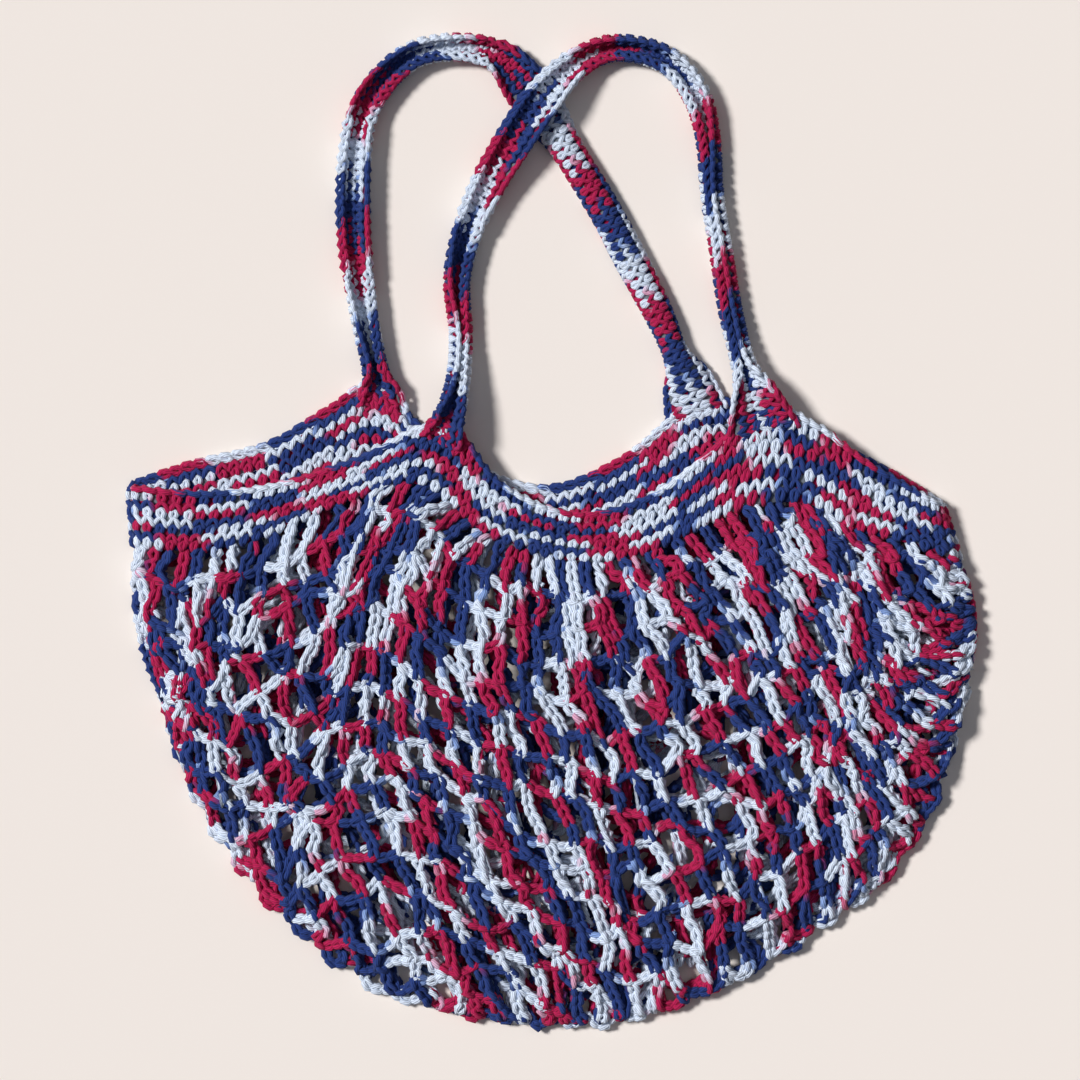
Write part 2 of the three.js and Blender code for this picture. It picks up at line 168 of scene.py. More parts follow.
# One close stitch of the band and straps: along in stitches, up the row in rows, out in yarn widths.
closeStitch = np.array([
    (-0.50, 1.02, -0.70), (-0.26, 0.66, -0.95), (-0.04, 0.06, -0.92),
    (0.00, -0.20, -0.10), (-0.08, 0.06, 0.60), (-0.21, 0.44, 0.86),
    (-0.22, 0.84, 0.74), (-0.06, 1.08, 0.50), (0.14, 0.98, 0.56),
    (0.22, 0.62, 0.84), (0.12, 0.20, 0.70), (0.04, -0.04, 0.20),
    (0.12, 0.22, -0.80), (0.30, 0.66, -0.95),
])

rng = np.random.default_rng(bag["seed"])
# The direction of a line is read between points this far before and behind.
readReach = 0.6


# A centre line read at distances along it, running straight on past its ends.
def readLine(line, at):
    steps = np.linalg.norm(np.diff(line, axis=0), axis=1)
    along = np.concatenate([[0], np.cumsum(steps)])

    def pointsAt(places):
        return np.stack([np.interp(places, along, line[:, k]) for k in range(3)], axis=-1)

    first = unit(line[1] - line[0])
    last = unit(line[-1] - line[-2])
    past = np.minimum(at, 0)[:, None] * first + np.maximum(at - along[-1], 0)[:, None] * last
    return pointsAt(at) + past, unit(pointsAt(at + readReach) - pointsAt(at - readReach))


def lineLength(line):
    return float(np.linalg.norm(np.diff(line, axis=0), axis=1).sum())


# A smooth line through a few points.
def smoothLine(points, steps):
    points = np.asarray(points, float)
    return blendRows(points, np.linspace(0, 1, (len(points) - 1) * steps + 1))


# Lays a stitch table along a centre line, once for each repeat, rolled over by the twist on the way.
def layStitch(table, line, repeats, wide, up, twist=0.0):
    length = lineLength(line)
    pitch = length / repeats
    turns = np.arange(repeats)
    along = ((turns[:, None] + table[None, :, 0]) * pitch).ravel()
    turned = twist * (along / length - 0.5)
    sideways = np.tile(table[:, 1], repeats)
    upward = np.tile(table[:, 2], repeats)
    across = (sideways * np.cos(turned) - upward * np.sin(turned)) * wide
    rise = (sideways * np.sin(turned) + upward * np.cos(turned)) * wide
    point, ahead = readLine(line, along)
    side = unit(np.cross(ahead, up))
    out = unit(np.cross(side, ahead))
    return point + side * across[:, None] + out * rise[:, None]


# The net, made in three layers. Each says which pieces it is cut into, with their first round and the one
# after their last, how many strands it has at the band and how many lower down, over how many rounds that
# changes, how they crowd in the middle, how far they drift and where its sway starts.
net = {
    "front": {
        "name": "netFront", "parts": (("Upper", 0, 5), ("Lower", 5, 16)), "sides": 5,
        "first": 57, "last": 50, "lower": 6.0, "crowding": 0.6, "drift": 1.0, "turn": 0.3,
        "heightScatter": 1.0, "rimRise": 0.6,
    },
    "fold": {
        "name": "netFold", "parts": (("", 0, 16),), "sides": 4,
        "first": 34, "last": 32, "lower": 5.0, "crowding": 0.6, "drift": 0.5, "turn": 1.1,
        "heightScatter": 0.4,
    },
    "back": {
        "name": "netBack", "parts": (("Upper", 0, 6), ("Lower", 6, 16)), "sides": 5,
        "first": 36, "last": 32, "lower": 4.0, "crowding": 0.3, "drift": -0.15, "turn": 2.4,
        "heightScatter": 0.4, "rimRise": -0.2,
    },
    "rounds": 17,
    "placePoints": 401,
    "strandPoints": 61,
    "roundPitch": 17.6,
    "yarn": 3.2,
    "postSpread": 2.6,  # how wide a post's links are laid, and how long
    "postLink": 5.9,
    "postTwist": 1.4,
    "postWander": 1.3,
    "postBends": (0.33, 0.67),
    "postSteps": 4,
    "longestPost": 34,  # knots further apart than this are not joined
    "chainSpread": 2.1,
    "linkPitch": 5.4,
    "chainSteps": 5,
    "leastChain": 4,
    "chainSag": 0.16,
    "chainSway": 0.08,
    "chainDip": -1.6,  # behind the posts, but in front of them at the far left
    "levelRise": 1.7,
    "levelWide": 230.0,
    "backChainRise": 0.4,
    "rollSpread": 0.6,
    "tuck": 1.0,  # how far the first knots are tucked under the band
    "slide": 3.2,
    "slideRounds": 3,
    "scatter": 1.3,
    "wander": 2.4,
    "crumple": 5.2,
    "crumpleLeft": 0.4,  # crumpled most at the left, up to this share of the width
    "crumpleRight": 0.6,
    "crumpleFrom": 0.72,
    "crumpleOver": 0.28,
    "calmBelowBand": 18,
    "calmAboveRim": 25,
    "rimMargin": 6.0,
    "foldInset": 0.06,
    "foldDrop": 6.5,
    "foldLow": 4.8,
    "foldRim": 5.2,
    # Strands stand closer right of the middle, and looser at the right fold and low at the left.
    "rightClose": 0.3,
    "rightFrom": 0.4,
    "edgeLoose": 0.45,
    "edgeFrom": 0.78,
    "leftLoose": 0.36,
    "leftTo": 0.33,
    "leanBy": -0.05,  # the strands below the left peak lean out
    "leanAt": 0.36,
    "leanWide": 0.09,
    "leanBow": 0.6,
    "gapClear": 6.6,
    "gapMiddle": 0.1,
    "gapTries": 4,
    "gapBow": 0.6,
    "heldEnds": 0.2,
    "leastPush": 0.3,
    "cellWide": 21.0,  # one cell of the net, pulled open
    "cellLong": 21.0,
}
# How far across the bag a strand has drifted by the time it meets the rim: place at the band, drift.
strandDrift = np.array([
    (0.00, 0.00), (0.19, 0.045), (0.35, 0.07), (0.50, 0.155), (0.58, 0.17), (0.65, 0.205),
    (0.72, 0.225), (1.00, 0.24),
])
# How far down its strand each round sits, against the middle of the bag: place at the band, share.
roundLevel = np.array([
    (0.00, 0.86), (0.20, 0.95), (0.40, 1.04), (0.50, 1.06), (0.60, 0.98), (0.70, 0.86),
    (0.80, 0.78), (1.00, 0.72),
])
# An open gap is taller than it is wide.
gapShape = np.array([0.8, 1.15])
# The sway of the net as four waves: 0 across or 1 along, size, reach in x and in y, turn, start.
swayWaves = (
    (0, 1.0, 23, 41, 1.0, 0.0),
    (0, 0.7, 13, -29, 2.1, 1.0),
    (1, 1.0, 31, -19, 1.7, 2.0),
    (1, 0.7, 37, 15, 1.0, math.pi / 2),
)
fullSway = 1.7


def fromTable(table, at):
    return np.interp(at, table[:, 0], table[:, 1])


# A slow, fixed wander of the net.
def wander(x, y, turn):
    sway = np.zeros(2)
    for way, size, reachX, reachY, turns, begin in swayWaves:
        sway[way] += size * np.sin(x / reachX + y / reachY + turns * turn + begin)
    return sway / fullSway


# The strands' places across a round: closer in the middle, where the band gathers the net.
def roundPlaces(layer, row):
    kind = net[layer]
    part = min(1.0, max(0.0, (row - 1) / kind["lower"]))
    count = round(kind["first"] + (kind["last"] - kind["first"]) * part)
    crowding = kind["crowding"] * (1 - part)
    fine = np.linspace(0, 1, net["placePoints"])
    share = fine + crowding * (fine / 2 - np.sin(2 * math.pi * fine) / (4 * math.pi))
    share = share + fromTable(strandDrift, fine) * kind["drift"]
    share = share + net["rightClose"] * np.maximum(0, fine - net["rightFrom"])
    share = share - net["edgeLoose"] * np.maximum(0, fine - net["edgeFrom"])
    share = share - net["leftLoose"] * np.minimum(fine, net["leftTo"]) * part
    return np.interp((np.arange(count) + 0.5) / count * share[-1], share, fine)


# The path of one strand down the bag, as millimetre points up to the rim or the side fold.
def strandLine(layer, share):
    down = np.linspace(0, 1, net["strandPoints"])
    drift = fromTable(strandDrift, share) * net[layer]["drift"]
    leaning = math.exp(-((share - net["leanAt"]) / net["leanWide"]) ** 2)
    lean = net["leanBy"] * leaning * np.sin(math.pi * down ** net["leanBow"])
    across = share + drift * down + lean
    inside = (across <= 1) & (across >= 0)
    inside = np.cumprod(inside).astype(bool)
    return layerPoints(layer, across[inside], down[inside])


# A knot of the net, so far down its strand, with its wander, scatter and clearance of the open gaps.
def netKnot(layer, line, depth):
    length = lineLength(line)
    place = readLine(line, np.array([depth]))[0][0]
    free = min(1.0, max(0.0, depth / net["calmBelowBand"]))
    free = free * min(1.0, max(0.0, (length - depth) / net["calmAboveRim"]))
    share = np.clip((place[0] - setOver[0] - bag["left"]) / bag["wide"], 0, 1)
    loose = max(0.0, 1 - share / net["crumpleLeft"])
    loose = loose + net["crumpleRight"] * max(0.0, (share - net["crumpleFrom"]) / net["crumpleOver"])
    swaySize = net["wander"] + net["crumple"] * loose
    place[:2] += wander(place[0], place[1], net[layer]["turn"]) * swaySize * free
    place[:2] += rng.normal(0, 1, 2) * (net["scatter"] + loose) * free
    place[2] += rng.normal(0, net[layer]["heightScatter"]) * free
    if layer == "fold":
        place[2] = max(net["foldLow"], place[2] - net["foldDrop"])
    return clearOfGaps(place)


# Moves a knot out of the open gaps.
def clearOfGaps(place):
    for gapX, gapY in openGaps + setOver:
        off = (place[:2] - (gapX, gapY)) / gapShape
        far = np.hypot(*off)
        if far < net["gapClear"]:
            place[:2] = (gapX, gapY) + off / max(far, net["gapMiddle"]) * net["gapClear"] * gapShape
    return place


# Bends a line sideways until it passes clear of the open gaps, with its ends kept.
def bendClear(line):
    share = np.linspace(0, 1, len(line))
    weight = np.sin(math.pi * share) ** net["gapBow"]
    for gapX, gapY in openGaps + setOver:
        for _ in range(net["gapTries"]):
            off = (line[:, :2] - (gapX, gapY)) / gapShape
            far = np.hypot(off[:, 0], off[:, 1])
            near = int(far.argmin())
            if far[near] >= net["gapClear"] or weight[near] < net["heldEnds"]:
                break
            ahead = unit(line[min(near + 1, len(line) - 1), :2] - line[max(near - 1, 0), :2])
            side = np.array([-ahead[1], ahead[0]])
            side *= 1 if off[near] @ side >= 0 else -1
            push = (net["gapClear"] - far[near]) / max(weight[near], net["leastPush"])
            line[:, :2] += side * (push * weight)[:, None]
    return line


# The layer's outward direction, rolled a little for each strand.
def outward(layer, line):
    out = np.array([0.0, 0.0, -1.0 if layer == "back" else 1.0])
    ahead = unit(line[-1] - line[0])
    side = np.cross(ahead, out)
    roll = rng.normal(0, net["rollSpread"])
    return unit(out * math.cos(roll) + side * math.sin(roll))


# The chain between two knots sags towards the rim. It dips behind the posts, and comes forward at the left.
def chainLine(start, end, layer):
    middle = (start + end) / 2
    span = np.linalg.norm(end - start)
    middle[1] -= rng.uniform(0.0, net["chainSag"]) * span
    middle[0] += rng.normal(0, net["chainSway"]) * span
    left = np.clip(1 - (middle[0] - setOver[0] - bag["left"]) / net["levelWide"], 0, 1)
    if layer == "back":
        middle[2] += net["backChainRise"]
    else:
        middle[2] += net["chainDip"] * (1 - net["levelRise"] * left)
    return bendClear(smoothLine([start, middle, end], net["chainSteps"]))


# A post wanders a little on its way from one knot to the next.
def postLine(start, end):
    near, far = [start + (end - start) * share for share in net["postBends"]]
    near[:2] += rng.normal(0, net["postWander"], 2)
    far[:2] += rng.normal(0, net["postWander"], 2)
    return bendClear(smoothLine([start, near, far, end], net["postSteps"]))


def layPost(line, layer):
    links = max(2, round(lineLength(line) / net["postLink"]))
    twist = rng.normal(0, net["postTwist"])
    return layStitch(chainLink, line, links, net["postSpread"], outward(layer, line), twist)


def layChain(line, layer):
    if lineLength(line) < net["leastChain"]:
        return line
    links = max(1, round(lineLength(line) / net["linkPitch"]))
    return layStitch(chainLink, line, links, net["chainSpread"], outward(layer, line))


# The knots of every round. A strand that has met the rim or the side fold ends in a knot on it.
def netKnots(layer):
    rounds = []
    for row in range(net["rounds"]):
        knots = []
        for across in roundPlaces(layer, row):
            if layer == "fold" and not net["foldInset"] < across < 1 - net["foldInset"]:
                continue
            line = strandLine(layer, across)
            length = lineLength(line)
            slide = rng.normal(0, net["slide"]) * min(1.0, row / net["slideRounds"])
            pitch = net["roundPitch"] * float(fromTable(roundLevel, across))
            depth = row * pitch - net["tuck"] + slide if row else -net["tuck"]
            if depth < length - net["rimMargin"]:
                knots.append((across, netKnot(layer, line, depth), False))
            elif depth - pitch < length - net["rimMargin"] + 2 * abs(slide):
                edge = line[-1].copy()
                edge[2] = net["foldRim"] if layer == "fold" else edge[2] + net[layer]["rimRise"]
                knots.append((across, edge, True))
        rounds.append(knots)
    return rounds


# Each round's yarn works a post down to the next round, then a chain across to the next post.
def makeNetYarns(layer):
    rounds = netKnots(layer)
    yarns = []
    cells = []
    for row in range(net["rounds"] - 1):
        rowYarns = []
        run = []
        cells.append(0)
        knots = rounds[row]
        below = rounds[row + 1]
        for number, (across, place, ended) in enumerate(knots):
            if not ended and below:
                foot = min(below, key=lambda knot: abs(knot[0] - across))[1]
                if np.linalg.norm(foot - place) < net["longestPost"]:
                    run.append(layPost(postLine(place, foot), layer))
                    cells[-1] += 1
            last = number + 1 == len(knots)
            if not last and row and np.linalg.norm(knots[number + 1][1] - place) < net["longestPost"]:
                if not (ended and knots[number + 1][2]):
                    run.append(layChain(chainLine(place, knots[number + 1][1], layer), layer))
                    continue
            if run:
                rowYarns.append(np.concatenate(run))
            run = []
        yarns.append(rowYarns)
    return yarns, cells


rim = {
    "sidePoints": 5,
    "sideReach": 0.9,
    "bottomPoints": 57,
    "look": 0.01,
    "proud": (-2.6, 2.4),  # every second point stands out, and the ones between stand in
    "scatter": 1.4,
    "height": 3.8,
    "heightScatter": 0.5,
    "steps": 5,
    "sides": 5,
}


# The chain along the fold at the net's edge, from the band round the bottom and back to the band.
def makeRimYarn():
    points = []
    for down in np.linspace(0.0, rim["sideReach"], rim["sidePoints"]):
        points.append(layerPoints("front", 0.0, down))
    for number, across in enumerate(np.linspace(0, 1, rim["bottomPoints"])):
        place = layerPoints("front", across, 1.0)
        before = layerPoints("front", max(0, across - rim["look"]), 1.0)
        after = layerPoints("front", min(1, across + rim["look"]), 1.0)
        ahead = unit((after - before)[:2])
        proud = rim["proud"][number % 2] + rng.normal(0, rim["scatter"])
        place[:2] += np.array([ahead[1], -ahead[0]]) * proud
        points.append(place)
    for down in np.linspace(rim["sideReach"], 0.0, rim["sidePoints"]):
        points.append(layerPoints("front", 1.0, down))
    for place in points:
        place[2] = rim["height"] + rng.normal(0, rim["heightScatter"])
    line = smoothLine(points, rim["steps"])
    links = round(lineLength(line) / net["linkPitch"])
    return [layStitch(chainLink, line, links, net["chainSpread"], np.array([0, 0, 1.0]))]


yarnPath = {
    "leastHeight": 1.75,  # no yarn's middle lies nearer the floor than this
    "pull": (0.92, 1.08),  # how the yarn's tension changes from one row to the next
    "evenPull": (0.995, 1.005),
    "startWithin": 300,
    "swells": ((0.06, 9.0, 0), (0.04, 3.7, 1)),  # thick and thin places: size, reach, start
}


# Paths of yarn as one mesh of edges, with the yarn's length and fullness at each point. With a lag the
# colours of the rows pool side by side. Without one they start anywhere.
def yarnMesh(name, yarns, spin=0.0, lag=None):
    counts = [len(path) for path in yarns]
    points = np.concatenate(yarns)
    points[:, 2] = np.maximum(points[:, 2], yarnPath["leastHeight"])
    starts = np.concatenate([[0], np.cumsum(counts)[:-1]])
    edges = []
    along = np.zeros(len(points))
    runBefore = spin
    for start, count in zip(starts, counts):
        index = np.arange(start, start + count - 1)
        edges.append(np.stack([index, index + 1], axis=1))
        steps = np.linalg.norm(np.diff(points[start:start + count], axis=0), axis=1)
        tension = rng.uniform(*(yarnPath["pull"] if lag is None else yarnPath["evenPull"]))
        along[start:start + count] = runBefore + tension * np.concatenate([[0], np.cumsum(steps)])
        if lag is None:
            runBefore = along[start + count - 1] + rng.uniform(0, yarnPath["startWithin"])
        else:
            runBefore = spin + rng.normal(0, lag)
    edges = np.concatenate(edges)
    mesh = bpy.data.meshes.new(name + "Path")
    mesh.vertices.add(len(points))
    mesh.vertices.foreach_set("co", (points * mm).astype(np.float32).ravel())
    mesh.edges.add(len(edges))
    mesh.edges.foreach_set("vertices", edges.astype(np.int32).ravel())
    full = np.ones(len(points))
    for size, reach, begin in yarnPath["swells"]:
        full += size * np.sin(along / reach + begin)
    for label, values in (("yarnRun", along * mm), ("fullness", full)):
        attribute = mesh.attributes.new(label, "FLOAT", "POINT")
        attribute.data.foreach_set("value", values.astype(np.float32))
    mesh.update()
    return mesh


# A tree that sweeps a round section along each path and keeps its place round the yarn.
def makeYarnTree():
    tree = bpy.data.node_groups.new("yarnSweep", "GeometryNodeTree")
    face = tree.interface
    face.new_socket("Geometry", in_out="INPUT", socket_type="NodeSocketGeometry")
    inputs = {}
    for label, kind in (("Yarn width", "Float"), ("Sides", "Int"), ("Finish", "Material")):
        inputs[label] = face.new_socket(label, in_out="INPUT", socket_type="NodeSocket" + kind).identifier
    face.new_socket("Geometry", in_out="OUTPUT", socket_type="NodeSocketGeometry")
    add, link = tree.nodes.new, tree.links.new
    given, result = add("NodeGroupInput"), add("NodeGroupOutput")

    def fed(kind, source, slot="Geometry"):
        node = add(kind)
        link(source, node.inputs[slot])
        return node

    toCurve = fed("GeometryNodeMeshToCurve", given.outputs["Geometry"], "Mesh")
    section = add("GeometryNodeCurvePrimitiveCircle")
    section.mode = "RADIUS"
    link(mathNode(tree, "MULTIPLY", given.outputs["Yarn width"], 0.5), section.inputs["Radius"])
    link(given.outputs["Sides"], section.inputs["Resolution"])
    where = add("GeometryNodeInputPosition")
    around = add("ShaderNodeVectorMath")
    around.operation = "NORMALIZE"
    link(where.outputs[0], around.inputs[0])
    ring = fed("GeometryNodeStoreNamedAttribute", section.outputs["Curve"])
    ring.data_type = "FLOAT_VECTOR"
    ring.domain = "POINT"
    ring.inputs["Name"].default_value = "ring"
    link(around.outputs[0], ring.inputs["Value"])
    full = add("GeometryNodeInputNamedAttribute")
    full.data_type = "FLOAT"
    full.inputs["Name"].default_value = "fullness"
    sweep = fed("GeometryNodeCurveToMesh", toCurve.outputs["Curve"], "Curve")
    sweep.inputs["Fill Caps"].default_value = True
    link(ring.outputs["Geometry"], sweep.inputs["Profile Curve"])
    link(full.outputs["Attribute"], sweep.inputs["Scale"])
    smooth = fed("GeometryNodeSetShadeSmooth", sweep.outputs["Mesh"])
    real = fed("GeometryNodeRealizeInstances", smooth.outputs["Geometry"])
    paint = fed("GeometryNodeSetMaterial", real.outputs["Geometry"])
    link(given.outputs["Finish"], paint.inputs["Material"])
    link(paint.outputs["Geometry"], result.inputs["Geometry"])
    return tree, inputs


# Sweeps the yarn along its paths and leaves a plain mesh. Sizes are in millimetres.
def sweepYarn(name, yarns, width, sides, finish, spin=0.0, lag=None):
    mesh = yarnMesh(name, yarns, spin, lag)
    holder = addObject(name + "Holder", mesh)
    modifier = holder.modifiers.new("sweep", "NODES")
    modifier.node_group = yarnTree
    modifier[yarnInputs["Yarn width"]] = width * mm
    modifier[yarnInputs["Sides"]] = sides
    modifier[yarnInputs["Finish"]] = finish
    holder.update_tag()
    bpy.context.view_layer.update()
    made = bpy.data.meshes.new_from_object(holder.evaluated_get(bpy.context.evaluated_depsgraph_get()))
    holder.modifiers.clear()
    bpy.data.objects.remove(holder)
    bpy.data.meshes.remove(mesh)
    made.name = name
    piece = addObject(name, made)
    triangles = sum(len(face.vertices) - 2 for face in made.polygons)
    surface = sum(face.area for face in made.polygons)
    metres = sum(lineLength(path) for path in yarns) * mm
    print(name, "yarn", round(metres, 1), "m", triangles, "triangles", round(surface / 2, 4),
          "half surface")
    return piece


band = {
    "rows": 7,
    "stitches": 142,
    "yarn": 2.85,
    "spread": 2.1,
    "sides": 5,
    "edgeYarn": 3.2,
    "edgeSpread": 2.7,
    "edgeTilt": 1.05,
    "edgeLevel": 1.05,  # the edge chain lies just past the last row
    "skipEdge": 0.03,
    "spin": 10.0,
    "edgeSpin": 90.0,
    "gridAcross": 240,
    "gridLevels": 7,
    "groundThick": 1.3,
    "groundFrom": 0.02,
    "groundTo": 0.96,
    "flat": (0.86, 0.028),
}
# Close stitches vary this much from one to the next, in stitches and in rows.
stitchScatter = 0.03
# A grid is read this far past its first and last level.
pastGrid = 0.15


# The band as a grid of middle points and outward directions: once round the bag, seam to free edge.
def bandGrid():
    steps = band["gridAcross"] // 2
    levels = np.linspace(0, -1, band["gridLevels"])
    across = np.linspace(0, 1, steps + 1)
    rings = []
    for level in levels:
        front = layerPoints("front", across, level)
        back = layerPoints("back", across[::-1], level)
        front[:, 2] = np.maximum(front[:, 2], 0)
        right = (front[-1] + back[0]) / 2 + (bag["outerBulge"] - bag["foldInset"], 0, 0)
        left = (front[0] + back[-1]) / 2 - (bag["outerBulge"] - bag["foldInset"], 0, 0)
        rings.append(np.concatenate([front, [right], back, [left]]))
    return closeGrid(np.array(rings), True)


# A grid's points with the outward direction at each.
def closeGrid(points, ring):
    if ring:
        ahead = np.roll(points, -1, axis=1) - np.roll(points, 1, axis=1)
    else:
        ahead = np.gradient(points, axis=1)
    rise = np.gradient(points, axis=0)
    out = unit(np.cross(ahead, rise))
    return points, out


# Reads a grid at places from 0 to 1 along and across it.
def readGrid(grid, run, height, ring):
    points, out = grid
    levels = len(points)
    if ring:
        steps = np.linalg.norm(points - np.roll(points, 1, axis=1), axis=2).mean(axis=0)
        along = np.concatenate([np.cumsum(steps) - steps[0], [steps.sum()]])
        points = np.concatenate([points, points[:, :1]], axis=1)
        out = np.concatenate([out, out[:, :1]], axis=1)
        run = np.mod(run, 1)
    else:
        steps = np.linalg.norm(np.diff(points, axis=1), axis=2).mean(axis=0)
        along = np.concatenate([[0], np.cumsum(steps)])
    place = np.interp(run * along[-1], along, np.arange(len(along)))
    first = np.minimum(np.floor(place).astype(int), len(along) - 2)
    part = (place - first)[:, None]
    level = np.clip(height, -pastGrid, 1 + pastGrid) * (levels - 1)
    low = np.clip(np.floor(level).astype(int), 0, levels - 2)
    over = (level - low)[:, None]

    def mixed(values):
        near = values[low, first] * (1 - part) + values[low, first + 1] * part
        far = values[low + 1, first] * (1 - part) + values[low + 1, first + 1] * part
        return near * (1 - over) + far * over

    return mixed(points), unit(mixed(out))


# Rows of close stitches on a grid. Every second row is worked from the other side.
def closeRows(grid, rows, stitches, wide, ring, skipEdge):
    yarns = []
    for row in range(rows):
        turned = row % 2 == 1
        shift = 0.5 * (row % 2)
        index = np.arange(stitches)
        scatter = rng.normal(0, stitchScatter, stitches)
        along = (index[:, None] + scatter[:, None] + shift + 0.5 + closeStitch[None, :, 0]) / stitches
        rise = row + closeStitch[None, :, 1] + rng.normal(0, stitchScatter, (stitches, 1))
        up = skipEdge + rise / rows * (1 - 2 * skipEdge)
        out = closeStitch[None, :, 2] * wide * (-1 if turned else 1) * np.ones((stitches, 1))
        point, normal = readGrid(grid, along.ravel(), up.ravel(), ring)
        path = point + normal * out.ravel()[:, None]
        if turned and ring:
            path = path[::-1]
        yarns.append(path)
    return yarns


# A braided edge: chain links along the grid at one height, turned to face the edge.
def edgeChain(grid, level, links, wide, ring, tilt):
    index = np.arange(links)
    along = ((index[:, None] + chainLink[None, :, 0]) / links).ravel()
    point, normal = readGrid(grid, along, np.full(len(along), level), ring)
    inner, _ = readGrid(grid, along, np.full(len(along), 0.5), ring)
    ahead = unit(np.roll(point, -1, axis=0) - np.roll(point, 1, axis=0))
    pastEdge = unit(point - inner)
    lifted = normal * np.where(normal[:, 2:] < 0, -1, 1)
    facing = unit(pastEdge * math.cos(tilt) + lifted * math.sin(tilt))
    across = unit(np.cross(facing, ahead))
    sideways = np.tile(chainLink[:, 1], links) * wide
    upward = np.tile(chainLink[:, 2], links) * wide
    return point + across * sideways[:, None] + facing * upward[:, None]


# The straps' middle lines: x, y, height of the underside, flat width, and curl in degrees.
backHandle = np.array([
    (-87, 56, 0, 24, 20), (-88, 68, 0, 22, 120), (-90, 80, 0, 21, 270), (-95, 104, 0, 21, 245),
    (-100, 139, 0, 21, 190), (-101, 172, 0, 21, 180), (-98, 202, 0, 21, 205), (-89, 221, 0, 21, 215),
    (-71, 237, 0, 21, 245), (-49, 241, 0, 21, 240), (-29, 237, 0, 21, 190), (-16, 225, 0, 21, 70),
    (-6, 211, 0, 20, -40), (5, 192, 0, 21, -190), (23, 163, 0, 21, -200), (40, 131, 0, 21, -190),
    (53, 106, 0, 21, -240), (60, 89, 0, 21, -290), (67, 74, 0, 25, -110), (73, 56, 0, 30, -20),
], float)
frontHandle = np.array([
    (-58, 42, 10.5, 20, 60), (-52, 57, 10.5, 21, 220), (-48, 76, 5, 21, 300), (-47, 98, 0, 21, 310),
    (-49, 124, 0, 21, 260), (-44, 148, 0, 21, 215), (-33, 173, 0.8, 21, 170), (-19, 196, 6, 21, 145),
    (-6, 215, 7, 21, 145), (9, 231, 2, 21, 200), (26, 240, 0, 21, 250), (45, 239, 0, 21, 250),
    (61, 231, 0, 21, 235), (72, 215, 0, 21, 240), (77, 195, 0, 21, 290), (79, 168, 0, 21, 320),
    (83, 142, 0, 21, 315), (88, 110, 0, 21, 300), (94, 84, 4, 21, 290), (100, 66, 10, 26, 130),
    (106, 46, 10.5, 36, 20),
], float)
strap = {
    "tables": {"handleBack": backHandle, "handleFront": frontHandle},
    "thickness": 3.6,
    "leastCurl": 2.0,
    "rows": 5,
    "stitchPitch": 5.3,
    "yarn": 2.6,
    "spread": 1.8,
    "sides": 5,
    "edgeSpread": 2.3,
    "edgeTilt": 1.0,
    "edgeShare": 0.10,  # share of the width that each edge chain covers
    "spin": 130.0,
    "rowLag": 42.0,
    "gridAlong": 160,
    "gridAcross": 8,
    "groundThick": 1.2,
    "groundFrom": 0.04,
    "groundTo": 0.96,
    "flats": {"handleBack": (0.47, 0.0196), "handleFront": (0.48, 0.0196)},
}


# A strap as a grid, from its first end along its rows, with its curl as a bent section.
def strapGrid(rows):
    at = np.linspace(0, 1, strap["gridAlong"] + 1)
    middleX, middleY, underside, width, curl = blendRows(rows, at).T
    step = 0.5 / strap["gridAlong"]
    ahead = unit((blendRows(rows, at + step) - blendRows(rows, at - step))[:, :2])
    share = np.linspace(-0.5, 0.5, strap["gridAcross"] + 1)
    curl = np.radians(np.where(np.abs(curl) < strap["leastCurl"], strap["leastCurl"], curl))
    radius = width / curl
    angle = share[:, None] * curl[None, :]
    across = radius * np.sin(angle)
    up = radius - radius * np.cos(angle)
    up = up - up.min(axis=0) + strap["thickness"] / 2 + np.maximum(0, underside)
    x = middleX + setOver[0] + ahead[:, 1] * across
    y = middleY + setOver[1] - ahead[:, 0] * across
    points = np.stack([x, y, up], axis=-1)
    return closeGrid(points, False)


dye = {
    "white": (0.78, 0.86, 0.99, 1),
    "crimson": (0.50, 0.012, 0.085, 1),
    "navy": (0.022, 0.050, 0.215, 1),
    "pink": (0.80, 0.40, 0.56, 1),
    "sky": (0.27, 0.40, 0.74, 1),
}
# The dye bath's order along the yarn, each shade with the share of the cycle where it starts and ends.
dyeOrder = [
    ("white", 0.00, 0.315),
    ("pink", 0.332, 0.340),
    ("crimson", 0.352, 0.62),
    ("navy", 0.635, 0.95),
    ("sky", 0.964, 0.970),
    ("white", 0.985, 1.0),
]
# Each yarn's dye cycle, the length that its plies take to turn once and the depth of their relief, in
# metres, and how dark the painted shade in the grooves between the plies is.
yarnKinds = {
    "net": {"Cycle": 0.60, "Turn": 0.022, "GrooveShade": 0.5, "relief": 0.00036},
    "band": {"Cycle": 0.315, "Turn": 0.021, "GrooveShade": 0.46, "relief": 0.00032},
    "strap": {"Cycle": 0.315, "Turn": 0.021, "GrooveShade": 0.46, "relief": 0.00032},
}
ply = {
    "halfTurns": 3.5,  # seven plies show as one goes once round the yarn
    "roundness": 0.55,
    "waveScale": 60,
    "waveShift": 0.03,  # the dye's front runs unevenly, in metres of yarn
    "fibreScale": 1400,
    "fibreRise": 0.35,
    "blotchScale": 260,
    "blotchLift": 0.3,
    "blotchLeast": 0.86,
    "roughness": 0.8,
    "roughSpread": 0.12,
    "specular": 0.15,
    "sheen": 0.04,
    "sheenRoughness": 0.6,
}
